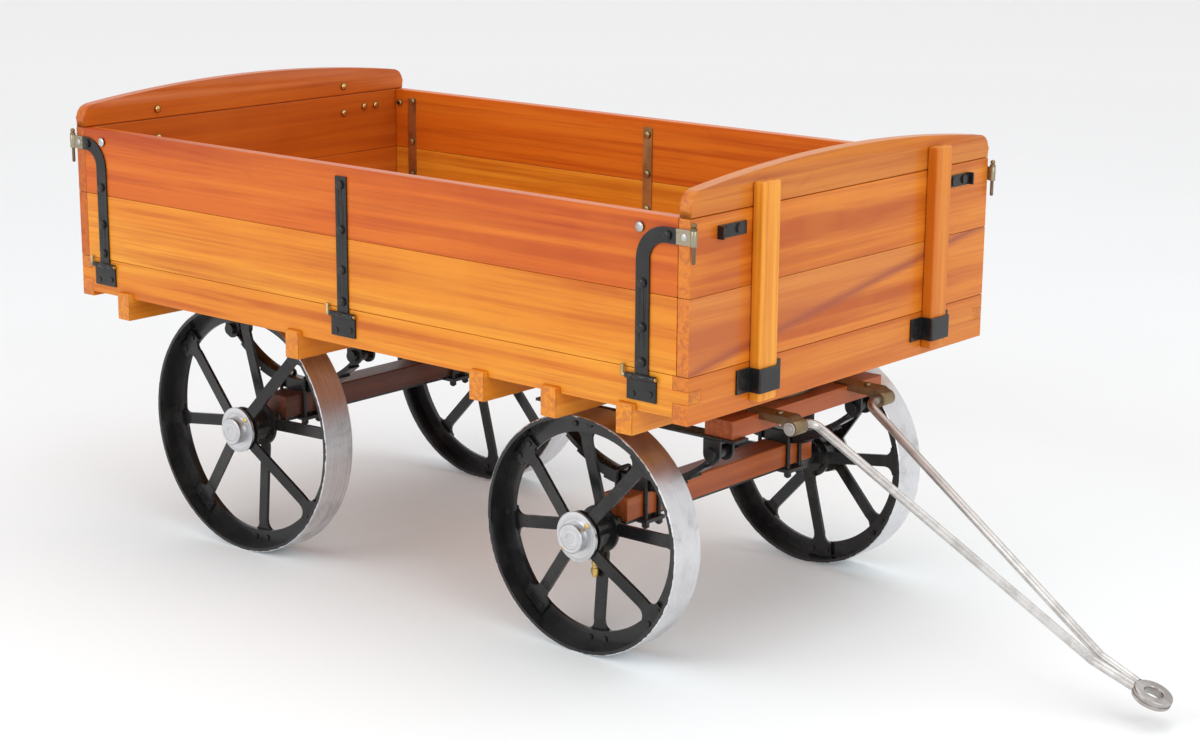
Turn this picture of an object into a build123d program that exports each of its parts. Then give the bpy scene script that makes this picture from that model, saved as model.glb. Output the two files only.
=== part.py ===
from build123d import *
import os
from math import asin, atan2, cos, degrees, radians, sin, sqrt

os.makedirs("parts", exist_ok=True)

# ---- bed frame ----
bed_length = 1200.0
bed_width = 688.6
frame_thick = 25.0
end_sill_height = 62.0
side_sill_height = 54.0
frame_top = 430.0
finger_low = 395.0
finger_high = 412.0
bearer_width = 28.0
bearer_height = 47.0
bearer_notch = 8.0
bearer_bottom = 343.0
bearer_overhang = 8.0
bearer_spacing = (107.0, 485.0, 847.0, 975.0, 1103.0)
floor_thick = 16.0
floor_board_count = 7

# ---- boards ----
board_thick = 19.0
plank_height = 100.0
board_lift = 0.5
plank_gap = 0.3
side_proud = 0.4
end_gap = 0.6
arch_middle = 684.0
arch_shoulder = 664.0
arch_corner = 20.0

# ---- straps, hinges and hasps ----
strap_width = 21.5
strap_thick = 3.0
strap_top = 617.0
arm_height = 20.0
front_strap_inset = 73.0
middle_strap_place = 587.0
rear_strap_inset = 60.0
strap_bend = 46.0
hinge_height = 421.0
knuckle_radius = 4.2
hinge_pin_radius = 2.45
hinge_bore_radius = 2.5
pin_leg_length = 16.0
plate_width = 47.0
plate_bottom = 390.0
bolt_radius = 3.0
bolt_head_radius = 6.5
hasp_reach = 6.5
latch_radius = 2.45

# ---- stakes ----
stake_width = 38.0
stake_depth = 18.0
stake_spread = 201.0
stake_bottom = 378.0
stake_top = 663.0
socket_bottom = 391.0
socket_height = 32.0
socket_gap = 0.4
screw_bite = 12.0

# ---- wheels and axles ----
front_axle_place = 975.0
rear_axle_place = 295.0
front_wheel_radius = 166.0
rear_wheel_radius = 191.0
wheel_inset = 53.5
tread_width = 55.0
tread_thick = 6.0
web_depth = 22.0
web_thick = 5.0
spoke_width = 17.5
spoke_thick = 5.0
spoke_turn = 5.5
oiler_radius = 3.4
oiler_length = 42.0
oiler_inset = 8.0
hub_spread = 20.0
hub_radius = 25.0
hub_disc_radius = 33.0
bush_radius = 13.0
spindle_radius = 8.0
spindle_bore = 8.05
axle_beam_depth = 45.0
axle_beam_height = 34.0
axle_beam_half = 215.0

# ---- springs ----
spring_half = 138.0
spring_rise = 59.0
spring_width = 22.0
leaf_thick = 3.6
leaf_count = 5
spring_spread = 165.0
eye_radius = 9.0
eye_bore = 5.0
shackle_radius = 4.9
hanger_radius = 14.0

# ---- fore-carriage and turntable ----
carriage_beam_place = 144.5
carriage_beam_depth = 47.0
carriage_beam_half = 175.0
carriage_beam_top = 331.0
carriage_beam_height = 25.0
rail_thick = 4.0
rail_width = 30.0
ring_outer = 151.0
ring_inner = 129.0
lower_ring_thick = 5.5
ring_gap = 0.3
king_pin_radius = 8.0

# ---- drawbar ----
pivot_place = 1194.0
pivot_height = 319.0
pivot_half_span = 117.0
knuckle_length = 27.0
barrel_radius = 10.5
rod_radius = 6.2
drawbar_slope = 32.0
crank_slope = 20.5
crank_place = 478.0
crank_length = 85.0
tow_eye_outer = 26.0
tow_eye_bore = 12.0
tow_eye_thick = 13.0

# ---- the shared frame: centred on everything, floor at zero ----
base_up = (Align.CENTER, Align.CENTER, Align.MIN)
top_down = (Align.CENTER, Align.CENTER, Align.MAX)
run = radians(drawbar_slope)
dip = radians(crank_slope)
eye_place = pivot_place + crank_place * cos(run) + crank_length * cos(dip)
eye_height = pivot_height - crank_place * sin(run) - crank_length * sin(dip)
front_reach = eye_place + tow_eye_outer * cos(dip) + 0.5 * tow_eye_thick * sin(dip)
rear_reach = stake_depth + socket_gap + strap_thick
bed_rear = -0.5 * (front_reach - rear_reach)
bed_front = bed_rear + bed_length
bed_middle = bed_rear + 0.5 * bed_length
half_width = 0.5 * bed_width
end_sill_bottom = frame_top - end_sill_height
side_sill_bottom = frame_top - side_sill_height
bearer_top = bearer_bottom + bearer_height
board_bottom = frame_top + board_lift
side_top = frame_top + 2 * plank_height
side_face = half_width + side_proud
side_mid = side_face - 0.5 * board_thick
strap_mid = side_face + 0.5 * strap_thick
hinge_y = side_face + knuckle_radius
pivot_x = bed_rear + pivot_place
front_axle_x = bed_rear + front_axle_place
rear_axle_x = bed_rear + rear_axle_place
bearer_places = [bed_rear + place for place in bearer_spacing]
strap_places = [
    bed_rear + rear_strap_inset,
    bed_rear + middle_strap_place,
    bed_front - front_strap_inset,
]

# ---- bed: sills joined at the corners by box fingers ----
with BuildPart() as side_sills:
    with Locations((bed_middle, half_width - frame_thick / 2, frame_top - side_sill_height / 2),
                   (bed_middle, frame_thick / 2 - half_width, frame_top - side_sill_height / 2)):
        Box(bed_length - 2 * frame_thick, frame_thick, side_sill_height)
    with Locations((bed_middle, half_width - frame_thick / 2, (finger_low + finger_high) / 2),
                   (bed_middle, frame_thick / 2 - half_width, (finger_low + finger_high) / 2)):
        Box(bed_length, frame_thick, finger_high - finger_low)
    with Locations([(x, 0, side_sill_bottom) for x in bearer_places]):
        Box(bearer_width, bed_width + 2, 2 * bearer_notch, mode=Mode.SUBTRACT)
side_sills.part.label = "side_sills"
export_step(side_sills.part, "parts/side_sills.step")

with BuildPart() as end_sills:
    with Locations((bed_front - frame_thick / 2, 0, frame_top - end_sill_height / 2),
                   (bed_rear + frame_thick / 2, 0, frame_top - end_sill_height / 2)):
        Box(frame_thick, bed_width, end_sill_height)
    with Locations((bed_middle, half_width - frame_thick / 2, (finger_low + finger_high) / 2),
                   (bed_middle, frame_thick / 2 - half_width, (finger_low + finger_high) / 2)):
        Box(bed_length + 2, frame_thick, finger_high - finger_low, mode=Mode.SUBTRACT)
end_sills.part.label = "end_sills"
export_step(end_sills.part, "parts/end_sills.step")

with BuildPart() as cross_bearers:
    with Locations([(x, 0, bearer_bottom + bearer_height / 2) for x in bearer_places]):
        Box(bearer_width, bed_width + 2 * bearer_overhang, bearer_height)
    with Locations([(x, side * (half_width + 10 - frame_thick / 2), side_sill_bottom + bearer_notch)
                    for x in bearer_places for side in (-1, 1)]):
        Box(bearer_width, frame_thick + 20, 20, align=base_up, mode=Mode.SUBTRACT)
    with Locations((front_axle_x, 0, bearer_bottom)):
        Cylinder(king_pin_radius, 3 * bearer_height, mode=Mode.SUBTRACT)
    chamfer(cross_bearers.edges().filter_by(Axis.Z).group_by(Axis.Y)[0], 1.5)
    chamfer(cross_bearers.edges().filter_by(Axis.Z).group_by(Axis.Y)[-1], 1.5)
cross_bearers.part.label = "cross_bearers"
export_step(cross_bearers.part, "parts/cross_bearers.step")

floor_span = bed_width - 2 * frame_thick - 1.0
floor_pitch = floor_span / floor_board_count
with BuildPart() as floor_boards:
    with Locations((bed_middle, 0, bearer_top + floor_thick / 2)):
        with GridLocations(1, floor_pitch, 1, floor_board_count):
            Box(bed_length - 2 * frame_thick - 1.0, floor_pitch - 1.0, floor_thick)
floor_boards.part.label = "floor_boards"
export_step(floor_boards.part, "parts/floor_boards.step")

# ---- hinges: a plate on the sill, a strap on the drop side ----
ear_width = (plate_width - strap_width) / 2 - 0.4
ear_shift = strap_width / 2 + 0.4 + ear_width / 2
plate_top = hinge_height - knuckle_radius - 0.4
with BuildPart() as hinge_plates:
    with BuildSketch(Plane.XZ.offset(half_width)):
        with Locations([(x, (plate_bottom + plate_top) / 2) for x in strap_places]):
            Rectangle(plate_width, plate_top - plate_bottom)
        with Locations([(x + way * ear_shift, hinge_height - 10) for x in strap_places for way in (-1, 1)]):
            Rectangle(ear_width, 20)
    extrude(amount=strap_thick)
    with Locations([(x + way * ear_shift, -hinge_y, hinge_height)
                    for x in strap_places for way in (-1, 1)]):
        Cylinder(knuckle_radius, ear_width, rotation=(0, 90, 0))
        Cylinder(hinge_bore_radius, ear_width, rotation=(0, 90, 0), mode=Mode.SUBTRACT)
    with Locations([(x + way * 14.0, -half_width - strap_thick, plate_bottom + 9.0 + way * 1.5)
                    for x in strap_places for way in (-1, 1)]):
        Cylinder(4.2, 1.6, rotation=(90, 0, 0), align=base_up)
    mirror(about=Plane.XZ)
hinge_plates.part.label = "hinge_plates"
export_step(hinge_plates.part, "parts/hinge_plates.step")

# ---- near drop side; the far one is its mirror ----
side_bolts = []
for x in strap_places:
    side_bolts += [(x, 440.0), (x, 485.0), (x, 542.0)]
side_bolts += [(strap_places[1], 605.0), (bed_rear + 63.0, 612.0), (bed_front - 79.0, 612.0)]
side_bolts += [(bed_rear + 30.0, strap_top - 10), (bed_front - 34.0, strap_top - 10)]
corner_bolts = side_bolts[-4:-2]
side_bolts = [spot for spot in side_bolts if spot not in corner_bolts]

with BuildPart() as near_side_boards:
    with BuildSketch(Plane.XZ.offset(side_face)):
        with Locations((bed_middle, board_bottom + (plank_height - board_lift - plank_gap) / 2)):
            Rectangle(bed_length - 2 * board_thick - 2 * end_gap, plank_height - board_lift - plank_gap)
        with Locations((bed_middle, frame_top + 1.5 * plank_height)):
            Rectangle(bed_length - 2 * board_thick - 2 * end_gap, plank_height)
        with Locations(side_bolts + corner_bolts):
            Circle(bolt_radius + 0.1, mode=Mode.SUBTRACT)
    extrude(amount=-board_thick)
near_side_boards.part.label = "near_side_boards"
export_step(near_side_boards.part, "parts/near_side_boards.step")

strap_low = hinge_height
with BuildPart() as near_side_straps:
    with BuildSketch(Plane.XZ.offset(side_face)):
        with Locations((strap_places[1], (strap_low + strap_top) / 2)):
            Rectangle(strap_width, strap_top - strap_low)
        for x, way, tip in ((strap_places[0], -1, bed_rear - hasp_reach),
                            (strap_places[2], 1, bed_front + hasp_reach)):
            inner = x - way * strap_width / 2
            outer = x + way * strap_width / 2
            with BuildLine():
                Line((inner, strap_low), (inner, strap_top - strap_bend))
                RadiusArc((inner, strap_top - strap_bend),
                          (inner + way * strap_bend, strap_top), way * strap_bend)
                Line((inner + way * strap_bend, strap_top), (tip, strap_top))
                Line((tip, strap_top), (tip, strap_top - arm_height))
                Line((tip, strap_top - arm_height), (inner + way * strap_bend, strap_top - arm_height))
                RadiusArc((inner + way * strap_bend, strap_top - arm_height),
                          (outer, strap_top - strap_bend), -way * (strap_bend - strap_width))
                Line((outer, strap_top - strap_bend), (outer, strap_low))
                Line((outer, strap_low), (inner, strap_low))
            make_face()
        with Locations(side_bolts):
            Circle(bolt_radius + 0.1, mode=Mode.SUBTRACT)
    extrude(amount=strap_thick)
    with Locations([(x, -hinge_y, hinge_height) for x in strap_places]):
        Cylinder(knuckle_radius, strap_width, rotation=(0, 90, 0))
    with Locations((bed_rear - hasp_reach, -strap_mid, strap_top - arm_height / 2),
                   (bed_front + hasp_reach, -strap_mid, strap_top - arm_height / 2)):
        Cylinder(4.5, arm_height)
        Cylinder(hinge_bore_radius, arm_height, mode=Mode.SUBTRACT)
    with Locations([(x, -hinge_y, hinge_height) for x in strap_places]):
        Cylinder(hinge_bore_radius, strap_width, rotation=(0, 90, 0), mode=Mode.SUBTRACT)
near_side_straps.part.label = "near_side_straps"
export_step(near_side_straps.part, "parts/near_side_straps.step")

# brass: strips behind the straps, and one bent wire pin through each hinge
with BuildPart() as near_side_brasses:
    with BuildSketch(Plane.XZ.offset(side_face - board_thick)):
        with Locations([(x, (432.0 + strap_top) / 2) for x in strap_places]):
            Rectangle(18.0, strap_top - 432.0)
        with Locations(side_bolts[:10] + corner_bolts):
            Circle(bolt_radius + 0.1, mode=Mode.SUBTRACT)
    extrude(amount=-2.0)
    with Locations([(x - 2.0, -hinge_y, hinge_height) for x in strap_places]):
        Cylinder(hinge_pin_radius, plate_width + 8, rotation=(0, 90, 0))
    with Locations([(x - 6.0 - plate_width / 2, -hinge_y, hinge_height - hinge_pin_radius)
                    for x in strap_places]):
        Cylinder(hinge_pin_radius, pin_leg_length, align=base_up)
near_side_brasses.part.label = "near_side_brasses"
export_step(near_side_brasses.part, "parts/near_side_brasses.step")

with BuildPart() as near_side_bolts:
    with Locations([(x, -side_face - strap_thick, z) for x, z in side_bolts]):
        Cylinder(bolt_head_radius, 2.6, rotation=(90, 0, 0), align=base_up)
        Cylinder(bolt_radius, board_thick + strap_thick + 5.0, rotation=(-90, 0, 0),
                 align=base_up)
    with Locations([(x, -side_face, z) for x, z in corner_bolts]):
        Cylinder(bolt_head_radius, 2.6, rotation=(90, 0, 0), align=base_up)
        Cylinder(bolt_radius, board_thick + 3.0, rotation=(-90, 0, 0),
                 align=base_up)
    with Locations([(x, 2.0 + board_thick - side_face, z) for x, z in side_bolts[:10] + corner_bolts]):
        Cylinder(5.6, 2.6, rotation=(-90, 0, 0), align=base_up)
    with Locations([(x, board_thick - side_face, z) for x, z in side_bolts[10:]]):
        Cylinder(5.6, 2.6, rotation=(-90, 0, 0), align=base_up)
near_side_bolts.part.label = "near_side_bolts"
export_step(near_side_bolts.part, "parts/near_side_bolts.step")

with BuildPart() as far_side_boards:
    mirror(near_side_boards.part, about=Plane.XZ)
far_side_boards.part.label = "far_side_boards"
export_step(far_side_boards.part, "parts/far_side_boards.step")

with BuildPart() as far_side_straps:
    mirror(near_side_straps.part, about=Plane.XZ)
far_side_straps.part.label = "far_side_straps"
export_step(far_side_straps.part, "parts/far_side_straps.step")

with BuildPart() as far_side_brasses:
    mirror(near_side_brasses.part, about=Plane.XZ)
far_side_brasses.part.label = "far_side_brasses"
export_step(far_side_brasses.part, "parts/far_side_brasses.step")

with BuildPart() as far_side_bolts:
    mirror(near_side_bolts.part, about=Plane.XZ)
far_side_bolts.part.label = "far_side_bolts"
export_step(far_side_bolts.part, "parts/far_side_bolts.step")

# ---- latch pins dropped through the hasp eyes at the four corners ----
for corner, x, y in (("near_front", bed_front + hasp_reach, -strap_mid),
                     ("near_rear", bed_rear - hasp_reach, -strap_mid),
                     ("far_front", bed_front + hasp_reach, strap_mid),
                     ("far_rear", bed_rear - hasp_reach, strap_mid)):
    with BuildPart() as latch_pin:
        with Locations((x, y, strap_top - 42.0)):
            Cylinder(latch_radius, 46.0, align=base_up)
        with Locations((x, y, strap_top + 0.4)):
            Cylinder(4.2, 2.5, align=base_up)
        with Locations((x, y, strap_top + 6.4)):
            Sphere(3.6)
        chamfer(latch_pin.edges().group_by(Axis.Z)[0], 1.2)
    latch_pin.part.label = corner + "_latch_pin"
    export_step(latch_pin.part, "parts/" + corner + "_latch_pin.step")

# ---- front end board; the rear one is its mirror across the middle of the bed ----
bed_mid_plane = Plane.YZ.offset(bed_middle)
stake_bolts = [(side * stake_spread, z) for side in (-1, 1) for z in (480.0, 600.0, 645.0)]
strip_bolts = [(side * y, strap_top - 10) for side in (-1, 1) for y in (249.0, 276.0)]
with BuildPart() as front_planks:
    with BuildSketch(Plane.YZ.offset(bed_front)):
        with Locations((0, board_bottom + (plank_height - board_lift - plank_gap) / 2)):
            Rectangle(bed_width, plank_height - board_lift - plank_gap)
        with Locations((0, frame_top + 1.5 * plank_height - plank_gap / 2)):
            Rectangle(bed_width, plank_height - plank_gap)
        with BuildLine():
            Line((-half_width, side_top), (half_width, side_top))
            Line((half_width, side_top), (half_width, arch_shoulder - arch_corner))
            RadiusArc((half_width, arch_shoulder - arch_corner),
                      (half_width - arch_corner, arch_shoulder), -arch_corner)
            ThreePointArc((half_width - arch_corner, arch_shoulder), (0, arch_middle),
                          (arch_corner - half_width, arch_shoulder))
            RadiusArc((arch_corner - half_width, arch_shoulder),
                      (-half_width, arch_shoulder - arch_corner), -arch_corner)
            Line((-half_width, arch_shoulder - arch_corner), (-half_width, side_top))
        make_face()
        with Locations(stake_bolts + strip_bolts):
            Circle(bolt_radius + 0.1, mode=Mode.SUBTRACT)
    extrude(amount=-board_thick)
front_planks.part.label = "front_planks"
export_step(front_planks.part, "parts/front_planks.step")

with BuildPart() as front_stakes:
    with BuildSketch(Plane.YZ.offset(bed_front)):
        with Locations([(side * stake_spread, (stake_bottom + stake_top) / 2) for side in (-1, 1)]):
            Rectangle(stake_width, stake_top - stake_bottom)
    extrude(amount=stake_depth)
    with Locations([(bed_front, y, z) for y, z in stake_bolts]):
        Cylinder(bolt_radius + 0.1, screw_bite, rotation=(0, 90, 0), align=base_up, mode=Mode.SUBTRACT)
    chamfer(front_stakes.faces().sort_by(Axis.Z)[-2:].edges().sort_by(Axis.X)[-2:], 5.0)
front_stakes.part.label = "front_stakes"
export_step(front_stakes.part, "parts/front_stakes.step")

with BuildPart() as front_fittings:
    with BuildSketch(Plane.YZ.offset(bed_front)):
        with Locations([(side * 262.5, strap_top - 10) for side in (-1, 1)]):
            Rectangle(57.0, 17.0)
    extrude(amount=strap_thick)
    with Locations([(bed_front + 5.0, side * 289.5, strap_top - 10) for side in (-1, 1)]):
        Box(10.0, 3.0, 17.0)
    with Locations([(bed_front + strap_thick, y, z) for y, z in strip_bolts]):
        Cylinder(bolt_head_radius, 2.6, rotation=(0, 90, 0), align=base_up)
        Cylinder(bolt_radius, board_thick + strap_thick + 2, rotation=(0, -90, 0), align=base_up)
    with Locations([(bed_front + screw_bite - 0.2, y, z) for y, z in stake_bolts]):
        Cylinder(bolt_radius, board_thick + screw_bite + 1.8, rotation=(0, -90, 0), align=base_up)
    with Locations([(bed_front - board_thick, y, z) for y, z in stake_bolts + strip_bolts]):
        Cylinder(5.6, 2.6, rotation=(0, -90, 0), align=base_up)
front_fittings.part.label = "front_fittings"
export_step(front_fittings.part, "parts/front_fittings.step")

with BuildPart() as rear_planks:
    mirror(front_planks.part, about=bed_mid_plane)
rear_planks.part.label = "rear_planks"
export_step(rear_planks.part, "parts/rear_planks.step")

with BuildPart() as rear_stakes:
    mirror(front_stakes.part, about=bed_mid_plane)
rear_stakes.part.label = "rear_stakes"
export_step(rear_stakes.part, "parts/rear_stakes.step")

with BuildPart() as rear_fittings:
    mirror(front_fittings.part, about=bed_mid_plane)
rear_fittings.part.label = "rear_fittings"
export_step(rear_fittings.part, "parts/rear_fittings.step")

# ---- hat-shaped sockets on the end sills ----
hat_depth = stake_depth + socket_gap
hat_half = stake_width / 2 + socket_gap
with BuildPart() as stake_sockets:
    with BuildSketch(Plane.XY.offset(socket_bottom)):
        for side in (-1, 1):
            with Locations((bed_front, side * stake_spread)):
                Rectangle(hat_depth + strap_thick, 2 * hat_half + 2 * strap_thick,
                          align=(Align.MIN, Align.CENTER))
            with Locations((bed_front, side * stake_spread)):
                Rectangle(strap_thick, 2 * hat_half + 2 * strap_thick + 48,
                          align=(Align.MIN, Align.CENTER))
        for side in (-1, 1):
            with Locations((bed_front, side * stake_spread)):
                Rectangle(hat_depth, 2 * hat_half, align=(Align.MIN, Align.CENTER), mode=Mode.SUBTRACT)
    extrude(amount=socket_height)
    fillet(stake_sockets.edges().filter_by(Axis.Z).group_by(Axis.X)[-1], 2.5)
    flange_bolt = hat_half + strap_thick + 12
    with Locations([(bed_front + strap_thick, side * stake_spread + way * flange_bolt, socket_bottom + 16)
                    for side in (-1, 1) for way in (-1, 1)]):
        Cylinder(5.0, 2.0, rotation=(0, 90, 0), align=base_up)
    mirror(about=bed_mid_plane)
stake_sockets.part.label = "stake_sockets"
export_step(stake_sockets.part, "parts/stake_sockets.step")

# ---- turntable: upper ring under the bearers, lower ring on the carriage beams ----
lower_ring_top = carriage_beam_top + lower_ring_thick
upper_ring_bottom = lower_ring_top + ring_gap
with BuildPart() as turntable_upper:
    with BuildSketch(Plane.XY.offset(upper_ring_bottom)):
        with Locations((front_axle_x, 0)):
            Circle(ring_outer)
            Circle(ring_inner, mode=Mode.SUBTRACT)
            Rectangle(34.0, 2 * ring_inner + 4)
            Circle(spindle_bore, mode=Mode.SUBTRACT)
    extrude(amount=bearer_bottom - upper_ring_bottom)
turntable_upper.part.label = "turntable_upper"
export_step(turntable_upper.part, "parts/turntable_upper.step")

with BuildPart() as turntable_lower:
    with BuildSketch(Plane.XY.offset(carriage_beam_top)):
        with Locations((front_axle_x, 0)):
            Circle(ring_outer)
            Circle(ring_inner, mode=Mode.SUBTRACT)
            Rectangle(34.0, 2 * ring_inner + 4)
            Rectangle(2 * ring_inner + 4, 34.0)
            Circle(spindle_bore, mode=Mode.SUBTRACT)
    extrude(amount=lower_ring_thick)
turntable_lower.part.label = "turntable_lower"
export_step(turntable_lower.part, "parts/turntable_lower.step")

with BuildPart() as king_pin:
    with Locations((front_axle_x, 0, carriage_beam_top - 14)):
        Cylinder(king_pin_radius, bearer_top - carriage_beam_top + 14, align=base_up)
    with Locations((front_axle_x, 0, carriage_beam_top - 14)):
        Cylinder(15.0, 10.0, align=base_up)
    chamfer(king_pin.edges().group_by(Axis.Z)[0], 1.5)
king_pin.part.label = "king_pin"
export_step(king_pin.part, "parts/king_pin.step")

# ---- fore-carriage: two wooden beams on two iron rails ----
beam_bottom = carriage_beam_top - carriage_beam_height
bracket_mid = pivot_half_span - knuckle_length / 2
bracket_top = carriage_beam_top + 2.5
with BuildPart() as carriage_beams:
    with Locations([(front_axle_x + way * carriage_beam_place, 0, (beam_bottom + carriage_beam_top) / 2)
                    for way in (-1, 1)]):
        Box(carriage_beam_depth, 2 * carriage_beam_half, carriage_beam_height)
    with Locations([(front_axle_x + carriage_beam_place, side * bracket_mid, carriage_beam_top)
                    for side in (-1, 1)]):
        Box(carriage_beam_depth, knuckle_length, 15.0,
            align=(Align.MIN, Align.CENTER, Align.CENTER), mode=Mode.SUBTRACT)
carriage_beams.part.label = "carriage_beams"
export_step(carriage_beams.part, "parts/carriage_beams.step")

rail_reach = carriage_beam_place + carriage_beam_depth / 2 + 8
with BuildPart() as carriage_rails:
    with Locations([(front_axle_x, side * spring_spread, beam_bottom - rail_thick / 2)
                    for side in (-1, 1)]):
        Box(2 * rail_reach, rail_width, rail_thick)
carriage_rails.part.label = "carriage_rails"
export_step(carriage_rails.part, "parts/carriage_rails.step")

beam_front = front_axle_x + carriage_beam_place + carriage_beam_depth / 2
with BuildPart() as drawbar_brackets:
    with BuildSketch(Plane.XZ.offset(-bracket_mid - knuckle_length / 2)):
        with BuildLine():
            Polyline((front_axle_x + carriage_beam_place, bracket_top),
                     (pivot_x - 6, bracket_top),
                     (pivot_x + 4, pivot_height + 9),
                     (pivot_x - 9, pivot_height - 4),
                     (pivot_x - 16, carriage_beam_top - 9),
                     (beam_front + 4, carriage_beam_top - 7.5),
                     (front_axle_x + carriage_beam_place, carriage_beam_top - 7.5),
                     close=True)
        make_face()
    extrude(amount=knuckle_length)
    with Locations((pivot_x, bracket_mid, pivot_height)):
        Cylinder(barrel_radius, knuckle_length, rotation=(90, 0, 0))
        Cylinder(rod_radius + 0.05, knuckle_length, rotation=(90, 0, 0), mode=Mode.SUBTRACT)
    with Locations((pivot_x - 27, bracket_mid, bracket_top)):
        Cylinder(4.5, 3.0, align=base_up)
    mirror(about=Plane.XZ)
drawbar_brackets.part.label = "drawbar_brackets"
export_step(drawbar_brackets.part, "parts/drawbar_brackets.step")

# ---- spring hangers: a pair of round-nosed cheeks with a bolt across ----
rear_rail_bottom = bearer_bottom - rail_thick
for end, middle_x, top, eye_z in (
        ("carriage_hangers", front_axle_x, beam_bottom - rail_thick,
         front_wheel_radius + 6 + axle_beam_height + leaf_count * leaf_thick + spring_rise),
        ("rear_hangers", rear_axle_x, rear_rail_bottom,
         rear_wheel_radius + 6 + axle_beam_height + leaf_count * leaf_thick + spring_rise)):
    cheek_inner = spring_width / 2 + 1.2
    with BuildPart() as hangers:
        with BuildSketch(Plane.XZ.offset(spring_spread + cheek_inner)):
            for way in (-1, 1):
                with Locations((middle_x + way * spring_half, eye_z)):
                    Circle(hanger_radius)
                with Locations((middle_x + way * spring_half, (eye_z + top) / 2)):
                    Rectangle(2 * hanger_radius, top - eye_z)
        extrude(amount=4.0)
        with BuildSketch(Plane.XZ.offset(spring_spread - cheek_inner - 4.0)):
            for way in (-1, 1):
                with Locations((middle_x + way * spring_half, eye_z)):
                    Circle(hanger_radius)
                with Locations((middle_x + way * spring_half, (eye_z + top) / 2)):
                    Rectangle(2 * hanger_radius, top - eye_z)
        extrude(amount=4.0)
        with Locations([(middle_x + way * spring_half, -spring_spread, top - 2.0) for way in (-1, 1)]):
            Box(2 * hanger_radius, 2 * cheek_inner + 8.0, 4.0)
        with Locations([(middle_x + way * spring_half, -spring_spread, eye_z) for way in (-1, 1)]):
            Cylinder(shackle_radius, 2 * cheek_inner + 8.0, rotation=(90, 0, 0))
        with Locations([(middle_x + way * spring_half, -spring_spread - cheek_inner - 4.0, eye_z)
                        for way in (-1, 1)]):
            Cylinder(9.0, 6.0, rotation=(90, 0, 0), align=base_up)
        with Locations([(middle_x + way * spring_half, -spring_spread + cheek_inner + 4.0, eye_z)
                        for way in (-1, 1)]):
            Cylinder(8.0, 5.0, rotation=(-90, 0, 0), align=base_up)
        if end == "rear_hangers":
            with Locations(((bearer_places[0] + bearer_places[1]) / 2, -spring_spread,
                            rear_rail_bottom + rail_thick / 2)):
                Box(bearer_places[1] - bearer_places[0] + 60, rail_width, rail_thick)
        mirror(about=Plane.XZ)
    hangers.part.label = end
    export_step(hangers.part, "parts/" + end + ".step")

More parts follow.
